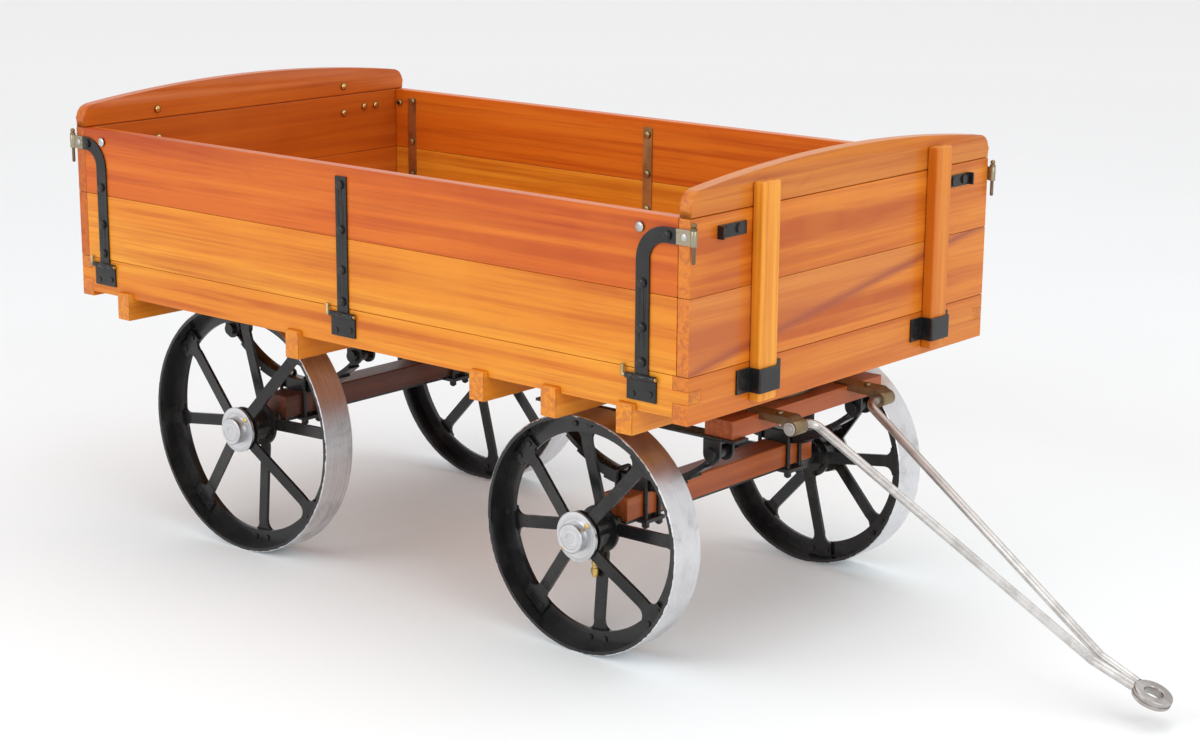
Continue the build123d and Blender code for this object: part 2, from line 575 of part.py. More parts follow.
# ---- axles, front and rear, alike but for their height ----
wheel_face = half_width - wheel_inset
wheel_mid = wheel_face - tread_width / 2
spindle_root = axle_beam_half + 8.0
for end, axle_x, axle_z in (("front", front_axle_x, front_wheel_radius),
                            ("rear", rear_axle_x, rear_wheel_radius)):
    timber_low = axle_z + 6.0
    timber_top = timber_low + axle_beam_height
    with BuildPart() as axle_beam:
        with Locations((axle_x, 0, (timber_low + timber_top) / 2)):
            Box(axle_beam_depth, 2 * axle_beam_half, axle_beam_height)
        chamfer(axle_beam.edges().filter_by(Axis.Y), 1.5)
    axle_beam.part.label = end + "_axle_beam"
    export_step(axle_beam.part, "parts/" + end + "_axle_beam.step")

    bolt_x = axle_beam_depth / 2 + 3.4
    bolt_y = spring_width / 2 + 3.4
    bow_top = timber_top + leaf_count * leaf_thick + 6.5
    with BuildPart() as axle_irons:
        with Locations((axle_x, 0, timber_low - 1.5)):
            Box(axle_beam_depth - 4, 2 * axle_beam_half, 3.0)
        with Locations([(axle_x, side * spring_spread, timber_low - 5.5) for side in (-1, 1)]):
            Box(2 * bolt_x + 12, 2 * bolt_y + 12, 5.0)
        for side in (-1, 1):
            for way in (-1, 1):
                place = Plane(origin=(axle_x + way * bolt_x, side * spring_spread, timber_low - 16),
                              x_dir=(0, 1, 0), z_dir=(1, 0, 0))
                with BuildLine(place) as bow:
                    FilletPolyline((-bolt_y, 0), (-bolt_y, bow_top - timber_low + 16),
                                   (bolt_y, bow_top - timber_low + 16), (bolt_y, 0), radius=6.0)
                with BuildSketch(Plane(origin=bow.line @ 0, z_dir=bow.line % 0)):
                    Circle(3.0)
                sweep(path=bow.line)
        with Locations([(axle_x + way * bolt_x, side * spring_spread + tilt * bolt_y, timber_low - 14)
                        for side in (-1, 1) for way in (-1, 1) for tilt in (-1, 1)]):
            Cylinder(5.5, 6.0, align=base_up)
        with Locations([(axle_x, side * (axle_beam_half - 30), axle_z) for side in (-1, 1)]):
            Box(30, 60, 6.0, mode=Mode.SUBTRACT)
    axle_irons.part.label = end + "_axle_irons"
    export_step(axle_irons.part, "parts/" + end + "_axle_irons.step")

    with BuildPart() as stub_axles:
        with Locations((axle_x, -axle_beam_half + 28, timber_low - 8.0 + 2.5)):
            Box(26, 56, 5.0)
        with Locations((axle_x, -axle_beam_half - 4, axle_z)):
            Box(26, 8.0, 24.0)
        with Locations((axle_x, -spindle_root, axle_z)):
            Cylinder(spindle_radius, wheel_face - spindle_root + 7.0, rotation=(90, 0, 0), align=base_up)
            Cylinder(13.0, wheel_face - tread_width - spindle_root - 0.6, rotation=(90, 0, 0), align=base_up)
        mirror(about=Plane.XZ)
    stub_axles.part.label = end + "_stub_axles"
    export_step(stub_axles.part, "parts/" + end + "_stub_axles.step")

    leaf_radius = (spring_half ** 2 + spring_rise ** 2) / (2 * spring_rise)
    bow_centre = timber_top + leaf_count * leaf_thick + leaf_radius
    eye_z = timber_top + leaf_count * leaf_thick + spring_rise
    with BuildPart() as leaf_springs:
        with BuildSketch(Plane.XZ.offset(spring_spread - spring_width / 2)):
            for leaf in range(leaf_count):
                near_r = leaf_radius + leaf * leaf_thick
                far_r = near_r + leaf_thick
                swing = asin(spring_half / leaf_radius) * (1.0 - 0.17 * leaf)
                with BuildLine():
                    ThreePointArc((axle_x - near_r * sin(swing), bow_centre - near_r * cos(swing)),
                                  (axle_x, bow_centre - near_r),
                                  (axle_x + near_r * sin(swing), bow_centre - near_r * cos(swing)))
                    Line((axle_x + near_r * sin(swing), bow_centre - near_r * cos(swing)),
                         (axle_x + far_r * sin(swing), bow_centre - far_r * cos(swing)))
                    ThreePointArc((axle_x + far_r * sin(swing), bow_centre - far_r * cos(swing)),
                                  (axle_x, bow_centre - far_r),
                                  (axle_x - far_r * sin(swing), bow_centre - far_r * cos(swing)))
                    Line((axle_x - far_r * sin(swing), bow_centre - far_r * cos(swing)),
                         (axle_x - near_r * sin(swing), bow_centre - near_r * cos(swing)))
                make_face()
            for way in (-1, 1):
                with Locations((axle_x + way * spring_half, eye_z)):
                    Circle(eye_radius)
            for way in (-1, 1):
                with Locations((axle_x + way * spring_half, eye_z)):
                    Circle(eye_bore, mode=Mode.SUBTRACT)
        extrude(amount=spring_width)
        mirror(about=Plane.XZ)
    leaf_springs.part.label = end + "_leaf_springs"
    export_step(leaf_springs.part, "parts/" + end + "_leaf_springs.step")

# ---- wheels: flanged rim, eight flat riveted spokes, bushed hub and a screwed cap ----
for end, axle_x, wheel_radius, oiler_turn in (("front", front_axle_x, front_wheel_radius, 0),
                                              ("rear", rear_axle_x, rear_wheel_radius, 90)):
    web_outer = wheel_radius - tread_thick
    web_inner = web_outer - web_depth
    rivet_ring = web_outer - 0.5 * web_depth
    rivet_swing = degrees(asin(13.0 / rivet_ring))
    rivet_reach = rivet_ring * cos(radians(rivet_swing))
    rivet_angles = [spoke_turn + 45 * step + way * rivet_swing for step in range(8) for way in (-1, 1)]
    with BuildPart() as rim:
        with BuildSketch(Plane.XZ.offset(wheel_face - tread_width)):
            with Locations((axle_x, wheel_radius)):
                Circle(wheel_radius)
                Circle(web_outer, mode=Mode.SUBTRACT)
        extrude(amount=tread_width)
        chamfer(rim.edges().filter_by(GeomType.CIRCLE).group_by(SortBy.RADIUS)[-1], 1.2)
        with BuildSketch(Plane.XZ.offset(wheel_mid - web_thick / 2)):
            with Locations((axle_x, wheel_radius)):
                Circle(web_outer + 1)
                Circle(web_inner, mode=Mode.SUBTRACT)
            with Locations([(axle_x + rivet_ring * cos(radians(angle)),
                             wheel_radius + rivet_ring * sin(radians(angle)))
                            for angle in rivet_angles]):
                Circle(2.6, mode=Mode.SUBTRACT)
        extrude(amount=web_thick)
    with BuildPart() as spokes:
        for step in range(8):
            turn = radians(spoke_turn + 45 * step)
            way = 1 if step % 2 else -1
            along = (cos(turn), 0, sin(turn))
            edge_on = Plane(origin=(axle_x, -wheel_mid, wheel_radius), x_dir=along,
                            z_dir=(sin(turn), 0, -cos(turn)))
            with BuildSketch(edge_on):
                with BuildLine():
                    Polyline((hub_radius + 0.1, way * hub_spread), (hub_disc_radius + 4, way * hub_spread),
                             (web_inner - 16, way * 2.6), (web_outer - 3.0, way * 2.6),
                             (web_outer - 3.0, way * (2.6 + spoke_thick)),
                             (web_inner - 16, way * (2.6 + spoke_thick)),
                             (hub_disc_radius + 4, way * (hub_spread + spoke_thick)),
                             (hub_radius + 0.1, way * (hub_spread + spoke_thick)), close=True)
                make_face()
            extrude(amount=spoke_width / 2, both=True)
            head_face = Plane(origin=(axle_x, -wheel_mid - way * 2.6, wheel_radius), x_dir=along,
                              z_dir=(0, -1, 0))
            with BuildSketch(head_face) as head:
                with BuildLine():
                    ThreePointArc((web_inner - 12, -spoke_width / 2),
                                  (web_inner - 3.52, -spoke_width / 2 - 3.52),
                                  (web_inner, -spoke_width / 2 - 12))
                    Polyline((web_inner, -spoke_width / 2 - 12), (web_outer - 3, -spoke_width / 2 - 12),
                             (web_outer - 3, spoke_width / 2 + 12), (web_inner, spoke_width / 2 + 12))
                    ThreePointArc((web_inner, spoke_width / 2 + 12),
                                  (web_inner - 3.52, spoke_width / 2 + 3.52),
                                  (web_inner - 12, spoke_width / 2))
                    Line((web_inner - 12, spoke_width / 2), (web_inner - 12, -spoke_width / 2))
                make_face()
            extrude(amount=way * spoke_thick)
            with BuildSketch(head_face):
                with Locations((rivet_reach, 13.0), (rivet_reach, -13.0)):
                    Circle(4.2)
            extrude(amount=way * (spoke_thick + 2.2))
            with BuildSketch(head_face):
                with Locations((rivet_reach, 13.0), (rivet_reach, -13.0)):
                    Circle(2.5)
            extrude(amount=-way * (2.6 + web_thick / 2 + 2.0))
            tail_face = Plane(origin=(axle_x, -wheel_mid + way * 2.6, wheel_radius), x_dir=along,
                              z_dir=(0, -1, 0))
            with BuildSketch(tail_face):
                with Locations((rivet_reach, 13.0), (rivet_reach, -13.0)):
                    Circle(4.2)
            extrude(amount=-way * 2.2)
    with BuildPart() as hub:
        with BuildSketch(Plane.XZ.offset(wheel_face - tread_width)):
            with Locations((axle_x, wheel_radius)):
                Circle(hub_radius)
                Circle(bush_radius, mode=Mode.SUBTRACT)
        extrude(amount=tread_width)
        for way in (-1, 1):
            with BuildSketch(Plane.XZ.offset(wheel_mid + way * (hub_spread - 2.6) - 2.4)):
                with Locations((axle_x, wheel_radius)):
                    Circle(hub_disc_radius)
                    Circle(bush_radius, mode=Mode.SUBTRACT)
            extrude(amount=4.8)
        with BuildSketch(Plane.XZ.offset(wheel_face - tread_width)):
            with Locations((axle_x, wheel_radius)):
                Circle(bush_radius - 0.05)
                Circle(spindle_bore, mode=Mode.SUBTRACT)
        extrude(amount=tread_width)
        with Locations(Location((axle_x, oiler_inset - wheel_mid, wheel_radius), (0, oiler_turn, 0))):
            with Locations((0, 0, 1.5 - hub_radius)):
                Cylinder(oiler_radius, oiler_length, align=top_down)
    with BuildPart() as cap:
        with Locations((axle_x, -wheel_face, wheel_radius)):
            Cylinder(34.5, 4.0, rotation=(90, 0, 0), align=base_up)
            Cylinder(20.5, 17.5, rotation=(90, 0, 0), align=base_up)
        chamfer(cap.edges().filter_by(GeomType.CIRCLE).group_by(Axis.Y)[0], 1.5)
        with Locations((axle_x, -wheel_face, wheel_radius)):
            Cylinder(11.0, 12.0, rotation=(90, 0, 0), align=base_up, mode=Mode.SUBTRACT)
        with Locations((axle_x + 20, -wheel_face - 4.0, wheel_radius + 19),
                       (axle_x - 20, -wheel_face - 4.0, wheel_radius - 19)):
            Cylinder(4.0, 2.0, rotation=(90, 0, 0), align=base_up)
    for piece, builder in (("rim", rim), ("spokes", spokes), ("hub", hub), ("cap", cap)):
        near_name = end + "_near_" + piece
        builder.part.label = near_name
        export_step(builder.part, "parts/" + near_name + ".step")
        far_name = end + "_far_" + piece
        with BuildPart() as far_piece:
            mirror(builder.part, about=Plane.XZ)
        far_piece.part.label = far_name
        export_step(far_piece.part, "parts/" + far_name + ".step")

# ---- drawbar: two rods in a V, bent out into the knuckles, brazed to a tow eye ----
slope_plane = Plane(origin=(pivot_x, 0, pivot_height), x_dir=(cos(run), 0, -sin(run)),
                    z_dir=(sin(run), 0, cos(run)))
crank_x = pivot_x + crank_place * cos(run)
crank_z = pivot_height - crank_place * sin(run)
eye_x = bed_rear + eye_place
rod_end = pivot_half_span + 0.4
rod_near = 6.4
rod_wide = 66.0
tail = crank_length - 20.0
with BuildPart() as drawbar_rods:
    with BuildLine(slope_plane) as rod_path:
        FilletPolyline((0, -rod_end), (0, -rod_wide), (crank_place, -rod_near - 4.0), radius=17.0)
    with BuildSketch(Plane(origin=rod_path.line @ 0, z_dir=rod_path.line % 0)):
        Circle(rod_radius)
    sweep(path=rod_path.line)
    with Locations((crank_x, -rod_near - 4.0, crank_z)):
        Sphere(rod_radius)
    with BuildLine() as tail_path:
        Line((crank_x, -rod_near - 4.0, crank_z),
             (crank_x + tail * cos(dip), -rod_near, crank_z - tail * sin(dip)))
    with BuildSketch(Plane(origin=tail_path.line @ 0, z_dir=tail_path.line % 0)):
        Circle(rod_radius)
    sweep(path=tail_path.line)
    eye_plane = Plane(origin=(eye_x, 0, eye_height), x_dir=(cos(dip), 0, -sin(dip)),
                      z_dir=(sin(dip), 0, cos(dip)))
    with BuildSketch(eye_plane):
        Circle(tow_eye_outer)
    extrude(amount=30, both=True, mode=Mode.SUBTRACT)
    mirror(about=Plane.XZ)
drawbar_rods.part.label = "drawbar_rods"
export_step(drawbar_rods.part, "parts/drawbar_rods.step")

with BuildPart() as drawbar_eye:
    with BuildSketch(eye_plane):
        Circle(tow_eye_outer)
        Circle(tow_eye_bore, mode=Mode.SUBTRACT)
    extrude(amount=tow_eye_thick / 2, both=True)
    fillet(drawbar_eye.edges().filter_by(GeomType.CIRCLE), 3.0)
    with BuildSketch(eye_plane):
        Circle(tow_eye_outer + 2)
        Circle(tow_eye_outer - 1.2, mode=Mode.SUBTRACT)
    extrude(amount=0.8, both=True, mode=Mode.SUBTRACT)
drawbar_eye.part.label = "drawbar_eye"
export_step(drawbar_eye.part, "parts/drawbar_eye.step")

with BuildPart() as drawbar_washers:
    with Locations((pivot_x, -rod_end, pivot_height)):
        Cylinder(9.0, 2.0, rotation=(90, 0, 0), align=base_up)
        Cylinder(5.5, 4.0, rotation=(90, 0, 0), align=base_up)
    mirror(about=Plane.XZ)
drawbar_washers.part.label = "drawbar_washers"
export_step(drawbar_washers.part, "parts/drawbar_washers.step")
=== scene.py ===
import bpy
import bmesh
import math
from mathutils import Matrix, Vector


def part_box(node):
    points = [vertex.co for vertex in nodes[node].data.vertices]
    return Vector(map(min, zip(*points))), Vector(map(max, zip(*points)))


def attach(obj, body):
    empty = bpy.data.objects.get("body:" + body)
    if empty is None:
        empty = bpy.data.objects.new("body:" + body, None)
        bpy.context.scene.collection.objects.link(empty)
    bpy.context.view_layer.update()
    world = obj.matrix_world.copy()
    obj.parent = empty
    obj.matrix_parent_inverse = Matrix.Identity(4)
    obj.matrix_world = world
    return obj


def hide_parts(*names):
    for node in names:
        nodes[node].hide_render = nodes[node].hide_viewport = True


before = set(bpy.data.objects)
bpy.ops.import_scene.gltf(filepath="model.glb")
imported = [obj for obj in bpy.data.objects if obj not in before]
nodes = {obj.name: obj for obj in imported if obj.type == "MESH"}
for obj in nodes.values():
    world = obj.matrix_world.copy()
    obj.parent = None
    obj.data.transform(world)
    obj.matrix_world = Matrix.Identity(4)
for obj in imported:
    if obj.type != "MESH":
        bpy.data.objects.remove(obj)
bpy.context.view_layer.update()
print("frame loaded with", len(nodes), "nodes")


def addNode(tree, kind, **settings):
    node = tree.nodes.new(kind)
    for key, value in settings.items():
        setattr(node, key, value)
    return node


def feed(tree, source, target):
    if isinstance(source, (int, float)):
        target.default_value = source
    else:
        tree.links.new(source, target)


def calc(tree, operation, first, second=0.0, third=None, clamp=False):
    node = addNode(tree, "ShaderNodeMath", operation=operation, use_clamp=clamp)
    feed(tree, first, node.inputs[0])
    feed(tree, second, node.inputs[1])
    if third is not None:
        feed(tree, third, node.inputs[2])
    return node.outputs[0]


def noise(tree, vector, scale, detail=3.0, roughness=0.55, distortion=0.0):
    node = addNode(tree, "ShaderNodeTexNoise")
    tree.links.new(vector, node.inputs["Vector"])
    node.inputs["Scale"].default_value = scale
    node.inputs["Detail"].default_value = detail
    node.inputs["Roughness"].default_value = roughness
    node.inputs["Distortion"].default_value = distortion
    return node.outputs["Fac"]


def ramp(tree, factor, stops, smooth=True):
    node = addNode(tree, "ShaderNodeValToRGB")
    node.color_ramp.interpolation = "EASE" if smooth else "LINEAR"
    spots = node.color_ramp.elements
    while len(spots) < len(stops):
        spots.new(0.5)
    for spot, (place, colour) in zip(spots, stops):
        spot.position = place
        spot.color = (*colour, 1.0) if len(colour) == 3 else colour
    tree.links.new(factor, node.inputs[0])
    return node.outputs[0]


def band(tree, value, low, high, fromZero=True):
    node = addNode(tree, "ShaderNodeMapRange", clamp=True)
    feed(tree, value, node.inputs["Value"])
    node.inputs["From Min"].default_value = low
    node.inputs["From Max"].default_value = high
    node.inputs["To Min"].default_value = 0.0 if fromZero else 1.0
    node.inputs["To Max"].default_value = 1.0 if fromZero else 0.0
    return node.outputs[0]


def mixColour(tree, factor, first, second, blendType="MIX"):
    node = addNode(tree, "ShaderNodeMix", data_type="RGBA", blend_type=blendType)
    feed(tree, factor, node.inputs["Factor"])
    for value, target in ((first, node.inputs[6]), (second, node.inputs[7])):
        if isinstance(value, tuple):
            target.default_value = (*value, 1.0)
        else:
            tree.links.new(value, target)
    return node.outputs[2]


def tinted(tree, base, pattern, low, high, amount, colour):
    # lays a colour over the base where a pattern passes from low to high
    return mixColour(tree, calc(tree, "MULTIPLY", band(tree, pattern, low, high), amount), base, colour)


def grey(value):
    return (value, value, value)


def startMaterial(name):
    material = bpy.data.materials.new(name)
    material.use_nodes = True
    tree = material.node_tree
    shader = tree.nodes["Principled BSDF"]
    return material, tree, shader


def raiseSurface(tree, shader, height, strength, distance):
    bump = addNode(tree, "ShaderNodeBump")
    bump.inputs["Strength"].default_value = strength
    bump.inputs["Distance"].default_value = distance
    tree.links.new(height, bump.inputs["Height"])
    tree.links.new(bump.outputs[0], shader.inputs["Normal"])


def stretched(tree, coordinate, scales, offset=None):
    node = addNode(tree, "ShaderNodeVectorMath", operation="MULTIPLY")
    tree.links.new(coordinate, node.inputs[0])
    node.inputs[1].default_value = scales
    result = node.outputs[0]
    if offset is not None:
        shift = addNode(tree, "ShaderNodeVectorMath", operation="ADD")
        tree.links.new(result, shift.inputs[0])
        tree.links.new(offset, shift.inputs[1])
        result = shift.outputs[0]
    return result


timberTones = {
    "honey": {"pale": (0.76, 0.300, 0.022), "mid": (0.69, 0.215, 0.011),
              "deep": (0.46, 0.090, 0.004), "ends": (0.42, 0.110, 0.020)},
    "amber": {"pale": (0.74, 0.265, 0.030), "mid": (0.67, 0.200, 0.016),
              "deep": (0.46, 0.090, 0.006), "ends": (0.46, 0.120, 0.026)},
    "butter": {"pale": (0.82, 0.345, 0.034), "mid": (0.74, 0.255, 0.015),
               "deep": (0.55, 0.125, 0.006), "ends": (0.50, 0.150, 0.026)},
    "cedar": {"pale": (0.62, 0.170, 0.016), "mid": (0.54, 0.120, 0.008),
              "deep": (0.36, 0.060, 0.004), "ends": (0.36, 0.080, 0.015)},
    "russet": {"pale": (0.52, 0.140, 0.034), "mid": (0.42, 0.098, 0.020),
               "deep": (0.26, 0.050, 0.012), "ends": (0.24, 0.055, 0.016)},
    # umber darkens the rear axle beam both as a darker stain and as painted shade from the bed over it
    "umber": {"pale": (0.17, 0.050, 0.024), "mid": (0.12, 0.034, 0.016),
              "deep": (0.065, 0.019, 0.010), "ends": (0.20, 0.060, 0.028)},
}


def timber(name, tone, grain, split=None, streak=None, redTop=None):
    # varnished softwood; grain is the axis the fibres run along
    # split gives the axis, start and pitch of its planks
    material, tree, shader = startMaterial(name)
    tones = timberTones[tone]
    place = addNode(tree, "ShaderNodeTexCoord")
    spot = place.outputs["Object"]
    parts = addNode(tree, "ShaderNodeSeparateXYZ")
    tree.links.new(spot, parts.inputs[0])
    shift = addNode(tree, "ShaderNodeCombineXYZ")
    index = None
    if split:
        axis, start, pitch = split
        fromStart = calc(tree, "SUBTRACT", parts.outputs[axis], start)
        index = calc(tree, "FLOOR", calc(tree, "DIVIDE", fromStart, pitch))
        tree.links.new(calc(tree, "MULTIPLY", index, 17.31), shift.inputs[0])
        tree.links.new(calc(tree, "MULTIPLY", index, 5.77), shift.inputs[1])
        tree.links.new(calc(tree, "MULTIPLY", index, 9.13), shift.inputs[2])

    def grained(along, across):
        scales = [across, across, across]
        scales[grain] = along
        return stretched(tree, spot, tuple(scales), shift.outputs[0])

    figure = noise(tree, grained(0.55, 15.0), 1.0, 5.0, 0.62, 0.35)
    growth = noise(tree, grained(1.3, 55.0), 1.0, 3.0, 0.60, 0.2)
    fibre = noise(tree, grained(5.0, 260.0), 1.0, 3.0, 0.6)
    pore = noise(tree, grained(34.0, 760.0), 1.0, 2.0, 0.5)
    cloud = noise(tree, spot, 4.0, 4.0, 0.6)
    fleck = noise(tree, grained(7.0, 26.0), 1.0, 2.0, 0.5, 0.8)
    base = ramp(tree, figure, [(0.33, tones["deep"]), (0.46, tones["mid"]), (0.62, tones["pale"])])
    base = tinted(tree, base, growth, 0.48, 0.66, 0.62, tones["deep"])
    base = tinted(tree, base, fibre, 0.48, 0.70, 0.40, tones["deep"])
    base = tinted(tree, base, pore, 0.62, 0.72, 0.30, tones["ends"])
    base = tinted(tree, base, cloud, 0.44, 0.70, 0.32, tones["pale"])
    base = tinted(tree, base, fleck, 0.70, 0.80, 0.45, tones["ends"])
    if index is not None:
        if redTop:
            upper = band(tree, index, redTop["from"], redTop["from"] + 0.1)
            upper = calc(tree, "MULTIPLY", upper, redTop["amount"])
            reddened = mixColour(tree, 1.0, base, redTop["tint"], "MULTIPLY")
            base = mixColour(tree, upper, base, reddened)
        else:
            odd = calc(tree, "FRACT", calc(tree, "MULTIPLY", index, 0.618))
            base = mixColour(tree, calc(tree, "MULTIPLY", odd, 0.35), base, tones["deep"])
    if streak:
        # heartwood running slantwise across one plank, told by its height at each place along the board
        level = calc(tree, "MULTIPLY_ADD", parts.outputs[1], streak["rise"], streak["height"])
        waver = calc(tree, "SUBTRACT", noise(tree, grained(2.6, 4.0), 1.0, 2.0), 0.5)
        waver = calc(tree, "MULTIPLY", waver, 0.018)
        gap = calc(tree, "SUBTRACT", parts.outputs[2], calc(tree, "ADD", level, waver))
        ragged = calc(tree, "MULTIPLY_ADD", fibre, 0.008, streak["width"])
        away = calc(tree, "DIVIDE", calc(tree, "ABSOLUTE", gap), ragged)
        line = calc(tree, "SUBTRACT", 1.0, calc(tree, "SMOOTH_MIN", 1.0, away, 0.2))
        inside = calc(tree, "MULTIPLY", band(tree, parts.outputs[2], streak["low"], streak["low"] + 0.0005),
                      band(tree, parts.outputs[2], streak["high"] - 0.0005, streak["high"], False))
        above = calc(tree, "MULTIPLY", band(tree, gap, 0.0, 0.004), inside)
        base = mixColour(tree, calc(tree, "MULTIPLY", above, 0.40), base, (0.50, 0.155, 0.045))
        heart = calc(tree, "MULTIPLY", calc(tree, "MULTIPLY", line, inside), 0.95)
        base = mixColour(tree, heart, base, (0.34, 0.075, 0.028))
    facing = addNode(tree, "ShaderNodeSeparateXYZ")
    tree.links.new(place.outputs["Normal"], facing.inputs[0])
    endOn = band(tree, calc(tree, "ABSOLUTE", facing.outputs[grain]), 0.75, 0.95)
    endRings = noise(tree, stretched(tree, spot, (60.0, 60.0, 60.0), shift.outputs[0]), 1.0, 3.0, 0.6, 2.0)
    endTone = ramp(tree, endRings, [(0.35, tones["ends"]), (0.65, tones["mid"])])
    base = mixColour(tree, calc(tree, "MULTIPLY", endOn, 0.85), base, endTone)
    scuff = noise(tree, stretched(tree, spot, (16.0, 40.0, 60.0)), 1.0, 5.0, 0.72, 1.4)
    scuffed = band(tree, scuff, 0.735, 0.765)
    base = mixColour(tree, calc(tree, "MULTIPLY", scuffed, 0.35), base, (0.86, 0.50, 0.24))
    tree.links.new(base, shader.inputs["Base Color"])
    gloss = calc(tree, "MULTIPLY_ADD", cloud, 0.20, 0.26)
    gloss = calc(tree, "ADD", gloss, calc(tree, "MULTIPLY", scuffed, 0.2))
    tree.links.new(gloss, shader.inputs["Roughness"])
    shader.inputs["Coat Weight"].default_value = 0.10
    shader.inputs["Coat Roughness"].default_value = 0.12
    shader.inputs["Specular IOR Level"].default_value = 0.28
    height = calc(tree, "ADD", calc(tree, "MULTIPLY", fibre, 0.6), calc(tree, "MULTIPLY", cloud, 0.8))
    raiseSurface(tree, shader, height, 0.16, 0.0006)
    return material


metalLooks = {
    "blackIron": {"base": (0.007, 0.007, 0.008), "other": (0.017, 0.016, 0.015),
                  "metallic": 0.0, "rough": (0.17, 0.36), "coat": 0.10, "bump": 0.22},
    "ageBrass": {"base": (0.30, 0.215, 0.115), "other": (0.16, 0.115, 0.070),
                 "metallic": 0.9, "rough": (0.34, 0.56), "coat": 0.0, "bump": 0.22},
    "paleBrass": {"base": (0.55, 0.42, 0.20), "other": (0.33, 0.24, 0.11),
                  "metallic": 0.95, "rough": (0.28, 0.46), "coat": 0.0, "bump": 0.15},
    "goldBrass": {"base": (0.80, 0.58, 0.20), "other": (0.58, 0.40, 0.13),
                  "metallic": 0.95, "rough": (0.22, 0.38), "coat": 0.0, "bump": 0.08},
    "brightSteel": {"base": (0.60, 0.59, 0.57), "other": (0.36, 0.33, 0.31),
                    "metallic": 1.0, "rough": (0.26, 0.42), "coat": 0.0, "bump": 0.12},
    "darkSteel": {"base": (0.16, 0.155, 0.15), "other": (0.08, 0.075, 0.07),
                  "metallic": 0.85, "rough": (0.35, 0.55), "coat": 0.0, "bump": 0.18},
    "turnedAlloy": {"base": (0.66, 0.67, 0.69), "other": (0.47, 0.47, 0.48),
                    "metallic": 1.0, "rough": (0.26, 0.40), "coat": 0.0, "bump": 0.10},
}


def metal(name, look, tips=None):
    material, tree, shader = startMaterial(name)
    values = metalLooks[look]
    place = addNode(tree, "ShaderNodeTexCoord")
    patches = noise(tree, place.outputs["Object"], 22.0, 4.0, 0.65)
    specks = noise(tree, place.outputs["Object"], 540.0, 2.0, 0.6)
    base = ramp(tree, patches, [(0.36, values["base"]), (0.66, values["other"])])
    base = tinted(tree, base, specks, 0.62, 0.78, 0.35, values["other"])
    if look == "blackIron":
        # paint rubbed thin on the corners
        corner = addNode(tree, "ShaderNodeBevel", samples=4)
        corner.inputs["Radius"].default_value = 0.0012
        turned = addNode(tree, "ShaderNodeVectorMath", operation="DOT_PRODUCT")
        tree.links.new(corner.outputs[0], turned.inputs[0])
        tree.links.new(addNode(tree, "ShaderNodeNewGeometry").outputs["Normal"], turned.inputs[1])
        worn = calc(tree, "MULTIPLY", band(tree, turned.outputs["Value"], 0.80, 0.97, False),
                    band(tree, specks, 0.46, 0.62))
        base = mixColour(tree, calc(tree, "MULTIPLY", worn, 0.55), base, (0.16, 0.15, 0.14))
    tree.links.new(base, shader.inputs["Base Color"])
    low, high = values["rough"]
    tree.links.new(calc(tree, "MULTIPLY_ADD", patches, high - low, low), shader.inputs["Roughness"])
    shader.inputs["Metallic"].default_value = values["metallic"]
    shader.inputs["Coat Weight"].default_value = values["coat"]
    shader.inputs["Coat Roughness"].default_value = 0.2
    if look == "blackIron":
        shader.inputs["Specular IOR Level"].default_value = 0.36
        if tips:
            # the ends that reach past the corners were never painted
            parts = addNode(tree, "ShaderNodeSeparateXYZ")
            tree.links.new(place.outputs["Object"], parts.inputs[0])
            ragged = calc(tree, "MULTIPLY_ADD", patches, 0.002, parts.outputs[0])
            bare = calc(tree, "ADD", band(tree, ragged, tips[1], tips[1] + 0.0006),
                        band(tree, ragged, tips[0] - 0.0006, tips[0], False))
            base = mixColour(tree, bare, base, (0.34, 0.29, 0.20))
            tree.links.new(base, shader.inputs["Base Color"])
            tree.links.new(calc(tree, "MULTIPLY", bare, 0.85), shader.inputs["Metallic"])
    height = calc(tree, "ADD", calc(tree, "MULTIPLY", patches, 0.6), calc(tree, "MULTIPLY", specks, 0.25))
    raiseSurface(tree, shader, height, values["bump"], 0.0006)
    return material


def radiusFrom(tree, place, centre):
    # distance from an axle that runs along Y
    parts = addNode(tree, "ShaderNodeSeparateXYZ")
    tree.links.new(place.outputs["Object"], parts.inputs[0])
    sideways = calc(tree, "SUBTRACT", parts.outputs[0], centre[0])
    upward = calc(tree, "SUBTRACT", parts.outputs[2], centre[2])
    squared = calc(tree, "ADD", calc(tree, "MULTIPLY", sideways, sideways),
                   calc(tree, "MULTIPLY", upward, upward))
    return calc(tree, "SQRT", squared), parts, calc(tree, "ARCTAN2", upward, sideways)


